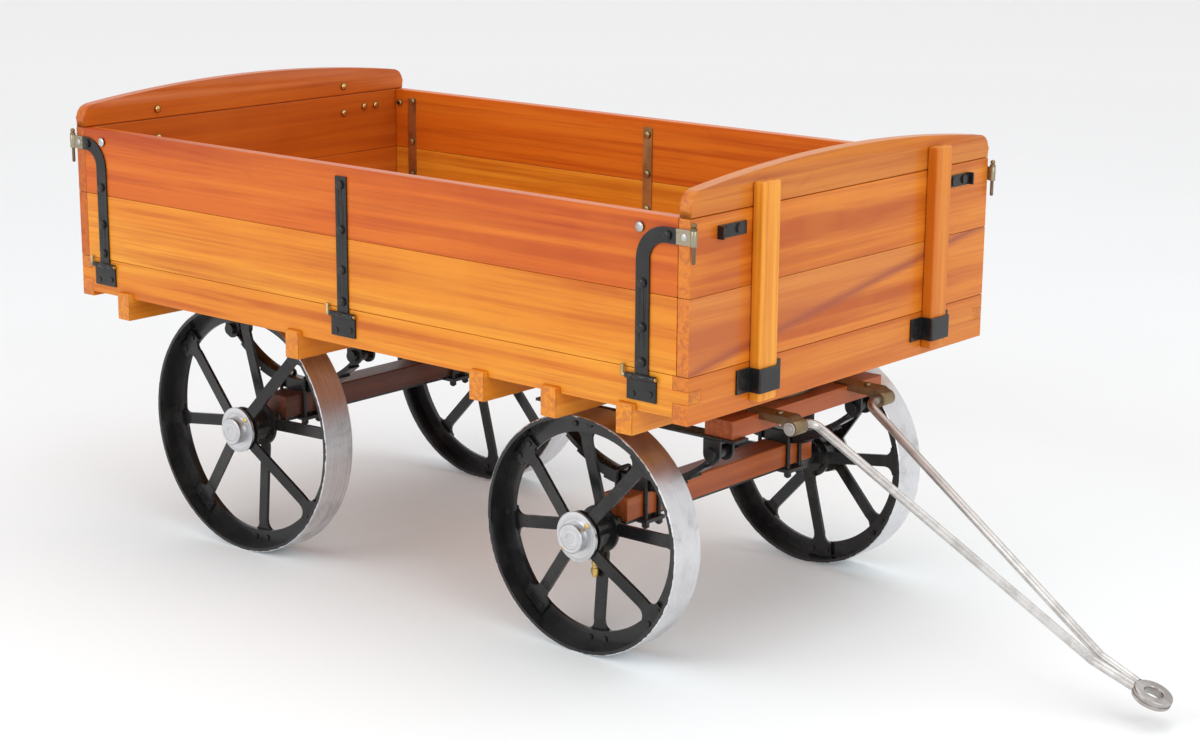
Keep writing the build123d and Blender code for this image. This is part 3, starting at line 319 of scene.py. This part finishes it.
def treadMetal(name, centre, wheelRadius, treadLines):
    # bare alloy tread, black paint on the edges and inside
    material, tree, shader = startMaterial(name)
    place = addNode(tree, "ShaderNodeTexCoord")
    radius, parts, angle = radiusFrom(tree, place, centre)
    around = addNode(tree, "ShaderNodeCombineXYZ")
    tree.links.new(calc(tree, "MULTIPLY", calc(tree, "COSINE", angle), 0.5), around.inputs[0])
    tree.links.new(calc(tree, "MULTIPLY", parts.outputs[1], 260.0), around.inputs[1])
    tree.links.new(calc(tree, "MULTIPLY", calc(tree, "SINE", angle), 0.5), around.inputs[2])
    turned = noise(tree, around.outputs[0], 2.0, 3.0, 0.6)
    patches = noise(tree, place.outputs["Object"], 16.0, 5.0, 0.7, 0.6)
    scuffs = noise(tree, place.outputs["Object"], 420.0, 2.0, 0.6)
    chipNoise = noise(tree, place.outputs["Object"], 95.0, 3.0, 0.7)
    chips = calc(tree, "MULTIPLY", calc(tree, "SUBTRACT", chipNoise, 0.5), 0.0042)
    bare = band(tree, calc(tree, "ADD", radius, chips), wheelRadius - 0.00135, wheelRadius - 0.00115)
    alloy = ramp(tree, patches, [(0.30, (0.56, 0.56, 0.57)), (0.50, (0.74, 0.74, 0.76)),
                                 (0.72, (0.84, 0.85, 0.87))])
    alloy = tinted(tree, alloy, turned, 0.45, 0.7, treadLines, (0.42, 0.42, 0.43))
    alloy = tinted(tree, alloy, scuffs, 0.60, 0.75, 0.30, (0.80, 0.81, 0.83))
    paint = ramp(tree, patches, [(0.35, (0.009, 0.009, 0.010)), (0.70, (0.024, 0.023, 0.022))])
    tree.links.new(mixColour(tree, bare, paint, alloy), shader.inputs["Base Color"])
    tree.links.new(bare, shader.inputs["Metallic"])
    roughBare = calc(tree, "MULTIPLY_ADD", patches, 0.24, 0.26)
    roughPaint = calc(tree, "MULTIPLY_ADD", patches, 0.20, 0.12)
    rough = calc(tree, "ADD", calc(tree, "MULTIPLY", roughBare, bare),
                 calc(tree, "MULTIPLY", roughPaint, calc(tree, "SUBTRACT", 1.0, bare)))
    tree.links.new(rough, shader.inputs["Roughness"])
    height = calc(tree, "ADD", calc(tree, "MULTIPLY", turned, 0.5), calc(tree, "MULTIPLY", scuffs, 0.3))
    raiseSurface(tree, shader, height, 0.25, 0.0005)
    return material


def capMetal(name, centre):
    # lathe marks run round the axle
    material, tree, shader = startMaterial(name)
    place = addNode(tree, "ShaderNodeTexCoord")
    radius, parts, angle = radiusFrom(tree, place, centre)
    turning = addNode(tree, "ShaderNodeCombineXYZ")
    tree.links.new(calc(tree, "MULTIPLY", radius, 900.0), turning.inputs[0])
    tree.links.new(calc(tree, "MULTIPLY", angle, 0.35), turning.inputs[1])
    tree.links.new(calc(tree, "MULTIPLY", parts.outputs[1], 900.0), turning.inputs[2])
    marks = noise(tree, turning.outputs[0], 1.0, 3.0, 0.6)
    patches = noise(tree, place.outputs["Object"], 40.0, 3.0, 0.6)
    alloy = ramp(tree, marks, [(0.35, (0.50, 0.50, 0.51)), (0.65, (0.72, 0.73, 0.75))])
    alloy = tinted(tree, alloy, patches, 0.5, 0.75, 0.35, (0.42, 0.42, 0.43))
    tree.links.new(alloy, shader.inputs["Base Color"])
    shader.inputs["Metallic"].default_value = 1.0
    shader.inputs["Anisotropic"].default_value = 0.4
    tree.links.new(calc(tree, "MULTIPLY_ADD", marks, 0.14, 0.24), shader.inputs["Roughness"])
    raiseSurface(tree, shader, marks, 0.15, 0.0003)
    return material


def patinaRod(name, topHeight, topBrown):
    # bright drawn rod with brown staining towards its upper end
    material, tree, shader = startMaterial(name)
    place = addNode(tree, "ShaderNodeTexCoord")
    parts = addNode(tree, "ShaderNodeSeparateXYZ")
    tree.links.new(place.outputs["Object"], parts.inputs[0])
    patches = noise(tree, place.outputs["Object"], 30.0, 4.0, 0.7)
    drawn = noise(tree, stretched(tree, place.outputs["Object"], (20.0, 700.0, 500.0)), 1.0, 2.0, 0.6)
    steel = ramp(tree, patches, [(0.35, (0.50, 0.48, 0.46)), (0.62, (0.68, 0.67, 0.65))])
    steel = tinted(tree, steel, drawn, 0.5, 0.75, 0.25, (0.32, 0.29, 0.27))
    stainHeight = calc(tree, "ADD", parts.outputs[2], calc(tree, "MULTIPLY", patches, 0.08))
    farSide = band(tree, parts.outputs[1], -0.002, 0.004)
    stain = calc(tree, "MULTIPLY", band(tree, stainHeight, topHeight - 0.12, topHeight),
                 calc(tree, "MULTIPLY_ADD", farSide, 0.35, 0.12))
    steel = mixColour(tree, stain, steel, topBrown)
    tree.links.new(steel, shader.inputs["Base Color"])
    shader.inputs["Metallic"].default_value = 0.95
    tree.links.new(calc(tree, "MULTIPLY_ADD", patches, 0.2, 0.26), shader.inputs["Roughness"])
    raiseSurface(tree, shader, calc(tree, "ADD", patches, drawn), 0.12, 0.0005)
    return material


print("making the finishes")
sillLow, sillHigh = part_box("side_sills")
bedRear, bedFront, halfWidth = sillLow.x, sillHigh.x, sillHigh.y
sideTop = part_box("near_side_boards")[1].z
floorLow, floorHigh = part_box("floor_boards")
plank = {"edge": 0.0012, "gap": 0.0003, "pitch": 0.1, "corner": 0.020, "shoulder": 0.664,
         "archEdge": 0.003, "stakeEdge": 0.0035, "stakeWidth": 0.038}
floorCount = 7
floorPitch = (floorHigh.y - floorLow.y + 0.001) / floorCount
plankStart = sideTop - 2 * plank["pitch"]
sideSplit = (2, plankStart, plank["pitch"])
tipInset = 0.0195  # where the paint on the straps stops
sideRed = {"from": 0.5, "amount": 1.0, "tint": (0.86, 0.56, 0.45)}
endRed = {"from": 1.5, "amount": 1.0, "tint": (0.80, 0.72, 0.75)}
endStreak = {"rise": 0.148, "height": plankStart + 0.055, "width": 0.0062,
             "low": plankStart, "high": plankStart + 0.0999}

finishes = {
    "sidePine": timber("sidePine", "honey", 0, sideSplit, None, sideRed),
    "sillPine": timber("sillPine", "honey", 0, (1, -0.5, 0.5)),
    "endSillPine": timber("endSillPine", "amber", 1, (0, -1.0, 0.7)),
    "endPine": timber("endPine", "amber", 1, sideSplit, endStreak, endRed),
    "rearPine": timber("rearPine", "cedar", 1, (2, plankStart - 0.2, plank["pitch"])),
    "stakePine": timber("stakePine", "butter", 2, (1, -0.7, 0.7)),
    "floorPine": timber("floorPine", "amber", 0, (1, floorLow.y - 0.0005, floorPitch)),
    "bearerPine": timber("bearerPine", "butter", 1, (0, -1.0, 0.17)),
    "beamRusset": timber("beamRusset", "russet", 1, (0, -1.0, 0.2)),
    # the rear axle beam's dark tone is partly a stain, partly painted shade under the bed
    "beamUmberStainAndShade": timber("beamUmberStainAndShade", "umber", 1),
    "blackIron": metal("blackIron", "blackIron"),
    "strapIron": metal("strapIron", "blackIron", (bedRear + tipInset, bedFront - tipInset)),
    "ageBrass": metal("ageBrass", "ageBrass"),
    "paleBrass": metal("paleBrass", "paleBrass"),
    "goldBrass": metal("goldBrass", "goldBrass"),
    "brightSteel": metal("brightSteel", "brightSteel"),
    "darkSteel": metal("darkSteel", "darkSteel"),
}
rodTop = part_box("drawbar_rods")[1].z
finishes["rodSteel"] = patinaRod("rodSteel", rodTop, (0.20, 0.10, 0.06))

# each drawn node's finish and the width of its broken edges
nodeFinish = {
    "side_sills": ("sillPine", 0.0012), "end_sills": ("endSillPine", 0.0012),
    "floor_boards": ("floorPine", 0.001), "cross_bearers": ("bearerPine", 0.0012),
    "hinge_plates": ("blackIron", 0.0004), "stake_sockets": ("blackIron", 0.0005),
    "turntable_upper": ("ageBrass", 0.0005), "king_pin": ("darkSteel", 0.0),
    "rear_hangers": ("blackIron", 0.0006), "near_side_straps": ("strapIron", 0.0005),
    "near_side_brasses": ("paleBrass", 0.0004), "near_side_bolts": ("blackIron", 0.0006),
    "far_side_straps": ("strapIron", 0.0005), "far_side_brasses": ("paleBrass", 0.0004),
    "far_side_bolts": ("blackIron", 0.0006), "near_front_latch_pin": ("ageBrass", 0.0),
    "near_rear_latch_pin": ("ageBrass", 0.0), "far_front_latch_pin": ("ageBrass", 0.0),
    "far_rear_latch_pin": ("ageBrass", 0.0), "front_fittings": ("blackIron", 0.0005),
    "rear_fittings": ("blackIron", 0.0005), "carriage_beams": ("beamRusset", 0.001),
    "carriage_rails": ("blackIron", 0.0006), "turntable_lower": ("ageBrass", 0.0005),
    "carriage_hangers": ("blackIron", 0.0006), "drawbar_brackets": ("ageBrass", 0.0009),
    "front_axle_beam": ("beamRusset", 0.0006), "front_axle_irons": ("blackIron", 0.0004),
    "front_leaf_springs": ("blackIron", 0.0004), "front_stub_axles": ("darkSteel", 0.0004),
    "rear_axle_beam": ("beamUmberStainAndShade", 0.0006), "rear_axle_irons": ("blackIron", 0.0004),
    "rear_leaf_springs": ("blackIron", 0.0004), "rear_stub_axles": ("darkSteel", 0.0004),
    "drawbar_rods": ("rodSteel", 0.0), "drawbar_eye": ("brightSteel", 0.0),
    "drawbar_washers": ("brightSteel", 0.0005),
}


def dress(node, finish, bevel):
    # a drawn CAD piece gets its finish and softly broken edges
    piece = nodes[node]
    piece.data.materials.clear()
    piece.data.materials.append(finish)
    if bevel > 0:
        weld = piece.modifiers.new("weld", "WELD")
        weld.merge_threshold = 0.00001
        edge = piece.modifiers.new("edge", "BEVEL")
        edge.width = bevel
        edge.segments = 2
        edge.limit_method = "ANGLE"
        edge.angle_limit = math.radians(40)
        edge.harden_normals = True
        edge.use_clamp_overlap = True


for node, (finish, bevel) in nodeFinish.items():
    dress(node, finishes[finish], bevel)

print("making the wheels' finishes")
for end in ("front", "rear"):
    for side in ("near", "far"):
        rimLow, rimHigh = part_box(end + "_" + side + "_rim")
        centre = (rimLow + rimHigh) / 2
        wheelName = end + side.capitalize()
        treadLines = 0.5 if end == "rear" else 0.18
        tread = treadMetal(wheelName + "Tread", centre, (rimHigh.z - rimLow.z) / 2, treadLines)
        dress(end + "_" + side + "_rim", tread, 0.0)
        dress(end + "_" + side + "_spokes", finishes["blackIron"], 0.0006)
        dress(end + "_" + side + "_hub", finishes["blackIron"], 0.0008)
        dress(end + "_" + side + "_cap", capMetal(wheelName + "Cap", centre), 0.0004)

print("building the boards")


def placeMesh(name, mesh, finish, smooth=True):
    # makes a piece of drawn geometry and gives it its finish
    data = bpy.data.meshes.new(name)
    bmesh.ops.recalc_face_normals(mesh, faces=mesh.faces)
    mesh.to_mesh(data)
    mesh.free()
    piece = bpy.data.objects.new(name, data)
    bpy.context.scene.collection.objects.link(piece)
    data.materials.append(finish)
    for face in data.polygons:
        face.use_smooth = smooth
    return piece


def brokenBox(mesh, low, high, edge):
    # a board with its twelve edges broken by a small chamfer
    corners = []
    for x in (low[0], high[0]):
        for y in (low[1], high[1]):
            for z in (low[2], high[2]):
                corners.append(mesh.verts.new((x, y, z)))
    faces = [(0, 1, 3, 2), (4, 6, 7, 5), (0, 4, 5, 1), (2, 3, 7, 6), (0, 2, 6, 4), (1, 5, 7, 3)]
    built = [mesh.faces.new([corners[index] for index in face]) for face in faces]
    edges = list(dict.fromkeys(side for face in built for side in face.edges))  # each edge once
    bmesh.ops.bevel(mesh, geom=edges, offset=edge, segments=2, profile=0.5, affect="EDGES")


def cornerArc(y, z, radius, start):
    # a quarter circle in nine points
    spots = []
    for step in range(9):
        angle = start + math.pi / 2 * step / 8
        spots.append((y + radius * math.cos(angle), z + radius * math.sin(angle)))
    return spots


def archBoard(mesh, face, thick, low, crown):
    # the top plank of an end board, drawn as an outline and given its thickness
    corner, shoulder = plank["corner"], plank["shoulder"]
    span = halfWidth - corner
    rise = crown - shoulder
    bow = (span * span + rise * rise) / (2 * rise)
    outline = [(-halfWidth, low), (halfWidth, low)]
    outline += cornerArc(halfWidth - corner, shoulder - corner, corner, 0.0)
    for step in range(1, 32):
        y = span - 2 * span * step / 32
        outline.append((y, crown - bow + math.sqrt(bow * bow - y * y)))
    outline += cornerArc(corner - halfWidth, shoulder - corner, corner, math.pi / 2)
    front = [mesh.verts.new((face, y, z)) for y, z in outline]
    behind = [mesh.verts.new((face + thick, y, z)) for y, z in outline]
    frontFace = mesh.faces.new(front)
    behindFace = mesh.faces.new(list(reversed(behind)))
    count = len(outline)
    for step in range(count):
        after = (step + 1) % count
        mesh.faces.new((front[after], front[step], behind[step], behind[after]))
    edges = list(frontFace.edges) + list(behindFace.edges)
    bmesh.ops.bevel(mesh, geom=edges, offset=plank["archEdge"], segments=3, profile=0.5, affect="EDGES")


def addBoards(name, mesh, finish, body, stands):
    piece = placeMesh(name, mesh, finish)
    level = piece.modifiers.new("level", "WEIGHTED_NORMAL")
    level.keep_sharp = False
    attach(piece, body)
    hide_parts(stands)


for side in ("near", "far"):
    low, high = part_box(side + "_side_boards")
    seam = high.z - plank["pitch"]
    boards = bmesh.new()
    brokenBox(boards, (low.x, low.y, low.z), (high.x, high.y, seam - plank["gap"]), plank["edge"])
    brokenBox(boards, (low.x, low.y, seam), (high.x, high.y, high.z), plank["edge"])
    addBoards(side + "Planks", boards, finishes["sidePine"], side + "_side", side + "_side_boards")

for end in ("front", "rear"):
    low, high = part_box(end + "_planks")
    archFoot = low.z + 2 * plank["pitch"] - 0.0005
    seam = archFoot - plank["pitch"]
    boards = bmesh.new()
    brokenBox(boards, (low.x, low.y, low.z), (high.x, high.y, seam - plank["gap"]), plank["edge"])
    brokenBox(boards, (low.x, low.y, seam), (high.x, high.y, archFoot - plank["gap"]), plank["edge"])
    archBoard(boards, low.x, high.x - low.x, archFoot, high.z)
    boardFinish = finishes["endPine" if end == "front" else "rearPine"]
    addBoards(end + "EndBoard", boards, boardFinish, end + "_board", end + "_planks")
    low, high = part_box(end + "_stakes")
    stakes = bmesh.new()
    for way in (-1, 1):
        inner, outer = sorted((way * (high.y - plank["stakeWidth"]), way * high.y))
        brokenBox(stakes, (low.x, inner, low.z), (high.x, outer, high.z), plank["stakeEdge"])
    addBoards(end + "StakePair", stakes, finishes["stakePine"], end + "_board", end + "_stakes")

print("building the small fittings")


def lathe(mesh, profile, centre, axis, steps=20):
    # turns a profile of (radius, distance along the axis) round a line through the centre
    along = Vector(axis).normalized()
    first = along.orthogonal().normalized()
    second = along.cross(first)
    rings = []
    for radius, reach in profile:
        ring = []
        for step in range(steps):
            angle = math.tau * step / steps
            side = math.cos(angle) * first + math.sin(angle) * second
            ring.append(mesh.verts.new(Vector(centre) + along * reach + side * radius))
        rings.append(ring)
    for lower, upper in zip(rings, rings[1:]):
        for step in range(steps):
            after = (step + 1) % steps
            mesh.faces.new((lower[step], lower[after], upper[after], upper[step]))
    mesh.faces.new(list(reversed(rings[0])))
    mesh.faces.new(rings[-1])


def finishPiece(name, mesh, finish, body, smooth=True):
    piece = placeMesh(name, mesh, finish, smooth)
    edge = piece.modifiers.new("edge", "BEVEL")
    edge.width = 0.0002
    edge.segments = 1
    edge.limit_method = "ANGLE"
    edge.angle_limit = math.radians(50)
    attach(piece, body)


def domeHeads(name, spots, outward, head, finish, body):
    # a set of round heads on one face
    radius, rise = head["radius"], head["rise"]
    profile = [(radius, 0.0), (radius * 0.97, rise * 0.35), (radius * 0.80, rise * 0.75),
               (radius * 0.45, rise), (0.0002, rise * 1.05)]
    mesh = bmesh.new()
    for spot in spots:
        lathe(mesh, profile, spot, outward)
    finishPiece(name, mesh, finishes[finish], body)


bolt = {"radius": 0.0056, "rise": 0.0017, "face": halfWidth + 0.0060,
        "rows": (0.440, 0.485, 0.542), "topRow": 0.605, "haspRow": 0.607}
loneBolt = {"radius": 0.0068, "rise": 0.0016, "face": halfWidth + 0.0028, "row": 0.612}
innerHead = {"radius": 0.0059, "rise": 0.0016, "face": halfWidth + 0.0004 - 0.019 - 0.0046,
             "onStrip": 0.0008, "onHasp": 0.0028}
rivet = {"radius": 0.0052, "rise": 0.0014, "face": halfWidth + 0.0032, "row": 0.607, "inset": 0.008}
strapPlaces = (bedRear + 0.060, bedRear + 0.587, bedFront - 0.073)
stripSpots = [(x, z) for x in strapPlaces for z in bolt["rows"]]
stripSpots += [(strapPlaces[1], bolt["topRow"])]
haspSpots = [(bedRear + 0.030, bolt["haspRow"]), (bedFront - 0.034, bolt["haspRow"])]
loneSpots = [(bedRear + 0.063, loneBolt["row"]), (bedFront - 0.079, loneBolt["row"])]

for side, way in (("near", -1), ("far", 1)):
    body = side + "_side"
    outward, inward = (0, way, 0), (0, -way, 0)
    spots = [(x, way * bolt["face"], z) for x, z in stripSpots + haspSpots]
    domeHeads(side + "OuterHeads", spots, outward, bolt, "blackIron", body)
    spots = [(x, way * loneBolt["face"], z) for x, z in loneSpots]
    domeHeads(side + "LoneHeads", spots, outward, loneBolt, "brightSteel", body)
    spots = [(x, way * (innerHead["face"] + innerHead["onStrip"]), z) for x, z in stripSpots + loneSpots]
    spots += [(x, way * (innerHead["face"] + innerHead["onHasp"]), z) for x, z in haspSpots]
    domeHeads(side + "InnerHeads", spots, inward, innerHead, "paleBrass", body)
    rivetPlaces = (bedRear + rivet["inset"], bedFront - rivet["inset"])
    spots = [(x, way * rivet["face"], rivet["row"]) for x in rivetPlaces]
    domeHeads(side + "HaspRivets", spots, outward, rivet, "brightSteel", body)

boardScrew = {"radius": 0.0058, "rise": 0.0030, "sunk": 0.0020,
              "across": (-0.276, -0.249, -0.201, 0.201, 0.249, 0.276),
              "stakeLine": 0.21, "stakeRows": (0.480, 0.600, 0.645), "row": 0.607}
for end, way in (("front", -1), ("rear", 1)):
    low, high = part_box(end + "_fittings")
    inner = low.x if end == "front" else high.x
    spots = []
    for y in boardScrew["across"]:
        behindStake = abs(y) < boardScrew["stakeLine"]
        for z in boardScrew["stakeRows"] if behindStake else (boardScrew["row"],):
            spots.append((inner - way * boardScrew["sunk"], y, z))
    domeHeads(end + "BoardScrews", spots, (way, 0, 0), boardScrew, "goldBrass", end + "_board")

oiler = {"inset": 0.008, "root": 0.0245, "neck": 0.0037, "collar": 0.0046, "hex": 0.0058, "tip": 0.0040,
         "collarTop": 0.019, "collarLow": 0.024, "collarFoot": 0.025, "hexTop": 0.029, "hexLow": 0.037,
         "low": 0.0412, "end": 0.0420}
capScrew = {"radius": 0.0042, "rise": 0.0012, "across": 0.020, "up": 0.019, "plate": 0.0275, "proud": 0.0060}
for end in ("front", "rear"):
    for side, way in (("near", -1), ("far", 1)):
        wheel = end + "_" + side
        pieceName = end + side.capitalize()
        rimLow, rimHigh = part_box(wheel + "_rim")
        middle = (rimLow + rimHigh) / 2
        down = (0, 0, -1) if end == "front" else (-1, 0, 0)
        root = Vector((middle.x, middle.y - way * oiler["inset"], middle.z)) + Vector(down) * oiler["root"]
        brass = bmesh.new()
        neck, collar, tip = oiler["neck"], oiler["collar"], oiler["tip"]
        lathe(brass, [(neck, 0.0), (neck, oiler["collarTop"])], root, down, 16)
        lathe(brass, [(collar, oiler["collarTop"]), (collar, oiler["collarLow"]),
                      (neck, oiler["collarFoot"]), (neck, oiler["hexTop"])], root, down, 16)
        lathe(brass, [(oiler["hex"], oiler["hexTop"]), (oiler["hex"], oiler["hexLow"])], root, down, 6)
        lathe(brass, [(tip, oiler["hexLow"]), (tip, oiler["low"]), (tip * 0.6, oiler["end"])], root, down, 16)
        finishPiece(pieceName + "Oiler", brass, finishes["goldBrass"], wheel + "_wheel", False)
        seat = middle.y + way * capScrew["plate"] + way * capScrew["proud"]
        spots = [(middle.x + reach * capScrew["across"], seat, middle.z + reach * capScrew["up"])
                 for reach in (-1, 1)]
        domeHeads(pieceName + "CapScrews", spots, (0, way, 0), capScrew, "goldBrass",
                  wheel + "_wheel")

print("setting the floor, lights and camera")
# the floor tones stand in for light: painted light under the cart and far off, painted shade in the ring
# between
studio = {"floorSize": 30.0, "paintedShadeRingTone": 0.84, "paintedLightCentreTone": 0.965, "paintedFarLightTone": 0.94,
          "skyTone": 0.90, "skyStrength": 1.0}


# pale paper with light painted into it: painted light under the cart against its shadow, painted shade in a
# ring where the lamps fall, and painted light again, even, far away where the lamps fade
def paperWithPaintedLight():
    # pale paper: a soft shade close in, brighter just beyond it, even far away
    material, tree, shader = startMaterial("studioPaperPaintedLight")
    place = addNode(tree, "ShaderNodeTexCoord").outputs["Object"]
    cloud = noise(tree, place, 0.8, 3.0, 0.6)
    away = addNode(tree, "ShaderNodeVectorMath", operation="LENGTH")
    tree.links.new(place, away.inputs[0])
    near, middle = studio["paintedShadeRingTone"], studio["paintedLightCentreTone"]
    # the paper tones lean slightly cool, a painted colour cast against the warm bounce light from the wood
    tone = ramp(tree, cloud, [(0.3, (near - 0.018, near - 0.010, near - 0.008)),
                              (0.7, (near, near + 0.008, near + 0.010))])
    # painted light: the paper is brighter within about a metre of the cart to lift its cast shadow
    paintedLightUnderCart = band(tree, away.outputs["Value"], 0.35, 1.15, False)
    tone = mixColour(tree, paintedLightUnderCart, tone, (middle - 0.05, middle, middle + 0.01))
    # painted light: brighter again far off where the lamps fade
    paintedFarLight = band(tree, away.outputs["Value"], 1.6, 7.0)
    tone = mixColour(tree, paintedFarLight, tone, grey(studio["paintedFarLightTone"]))
    tree.links.new(tone, shader.inputs["Base Color"])
    shader.inputs["Roughness"].default_value = 0.75
    shader.inputs["Specular IOR Level"].default_value = 0.2
    return material


floorMesh = bpy.data.meshes.new("studioFloor")
half = studio["floorSize"]
floorCorners = [(-half, -half, 0), (half, -half, 0), (half, half, 0), (-half, half, 0)]
floorMesh.from_pydata(floorCorners, [], [(0, 1, 2, 3)])
floor = bpy.data.objects.new("studioFloor", floorMesh)
bpy.context.scene.collection.objects.link(floor)
floorMesh.materials.append(paperWithPaintedLight())

world = bpy.data.worlds.new("studioSky")
bpy.context.scene.world = world
world.use_nodes = True
sky = world.node_tree.nodes["Background"]
sky.inputs["Color"].default_value = (studio["skyTone"], studio["skyTone"], studio["skyTone"] * 1.01, 1)
sky.inputs["Strength"].default_value = studio["skyStrength"]

lamps = {
    "keyLamp": {"place": (-1.3, -4.4, 2.2), "aim": (0.0, 0.0, 0.25), "size": 3.0, "power": 72.0},
    "frontLamp": {"place": (4.3, -1.5, 1.9), "aim": (0.1, 0.0, 0.3), "size": 2.6, "power": 50.0},
    "topLamp": {"place": (0.3, 1.0, 4.2), "aim": (0.0, 0.0, 0.3), "size": 3.4, "power": 40.0},
}
for lampName, values in lamps.items():
    light = bpy.data.lights.new(lampName, "AREA")
    light.shape = "SQUARE"
    light.size = values["size"]
    light.energy = values["power"]
    lamp = bpy.data.objects.new(lampName, light)
    bpy.context.scene.collection.objects.link(lamp)
    lamp.location = values["place"]
    aimWay = Vector(values["aim"]) - Vector(values["place"])
    lamp.rotation_euler = aimWay.to_track_quat("-Z", "Y").to_euler()

eye = {"place": (2.11426, -2.58929, 1.13675), "azimuth": 0.7022635, "rise": 0.2398788,
       "roll": 0.0073265, "lens": 71.165}
flat = math.cos(eye["rise"])
back = Vector((math.sin(eye["azimuth"]) * flat, -math.cos(eye["azimuth"]) * flat, math.sin(eye["rise"])))
level = Vector((0, 0, 1)).cross(back).normalized()
upright = back.cross(level)
rightWay = math.cos(eye["roll"]) * level + math.sin(eye["roll"]) * upright
upWay = math.cos(eye["roll"]) * upright - math.sin(eye["roll"]) * level
cameraData = bpy.data.cameras.new("studioCamera")
cameraData.lens = eye["lens"]
cameraData.sensor_width = 36.0
camera = bpy.data.objects.new("studioCamera", cameraData)
bpy.context.scene.collection.objects.link(camera)
turned = Matrix((rightWay, upWay, back)).transposed().to_4x4()
camera.matrix_world = Matrix.Translation(Vector(eye["place"])) @ turned
bpy.context.scene.camera = camera
bpy.context.scene.view_settings.view_transform = "Standard"
